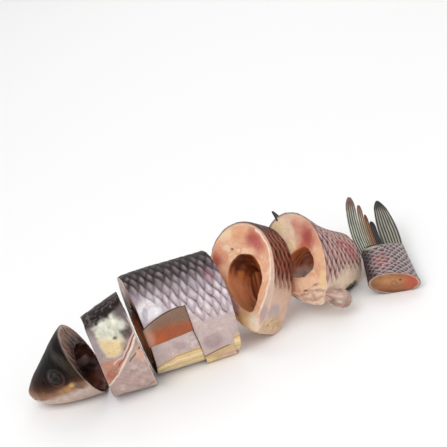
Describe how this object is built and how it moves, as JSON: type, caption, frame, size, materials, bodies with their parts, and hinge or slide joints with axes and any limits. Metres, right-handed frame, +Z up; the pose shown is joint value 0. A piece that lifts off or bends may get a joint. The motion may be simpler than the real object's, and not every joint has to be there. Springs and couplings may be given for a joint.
{
  "type": "cut whole rohu",
  "caption": "Scaly river carp, gutted and cut across into thick pieces with hollow middles, laid in a row from head to tail fin.",
  "frame": {"origin": "on the surface that the pieces rest on, under the middle of the row's box", "axes": "+X along the row from the head towards the tail, +Y towards the fish's right side, +Z up"},
  "size_m": [0.4141, 0.2047, 0.1066],
  "materials": {
    "head_skin": "wet dark scaleless skin",
    "scaly_skin": "wet grey-pink scales, darker at the back",
    "bone": "sawn bone",
    "eye": "wet and clouded"
  },
  "bodies": {
    "root": {"head_front": "head_skin", "head_rear": "head_skin", "body_front": "scaly_skin", "steak_front": "scaly_skin", "steak_rear": "scaly_skin", "tail_end": "scaly_skin", "backbone_body_front": "bone", "backbone_steak_front": "bone", "backbone_steak_rear": "bone", "backbone_tail_end": "bone", "eye_left": "eye", "eye_right": "eye"}
  },
  "joints": []
}
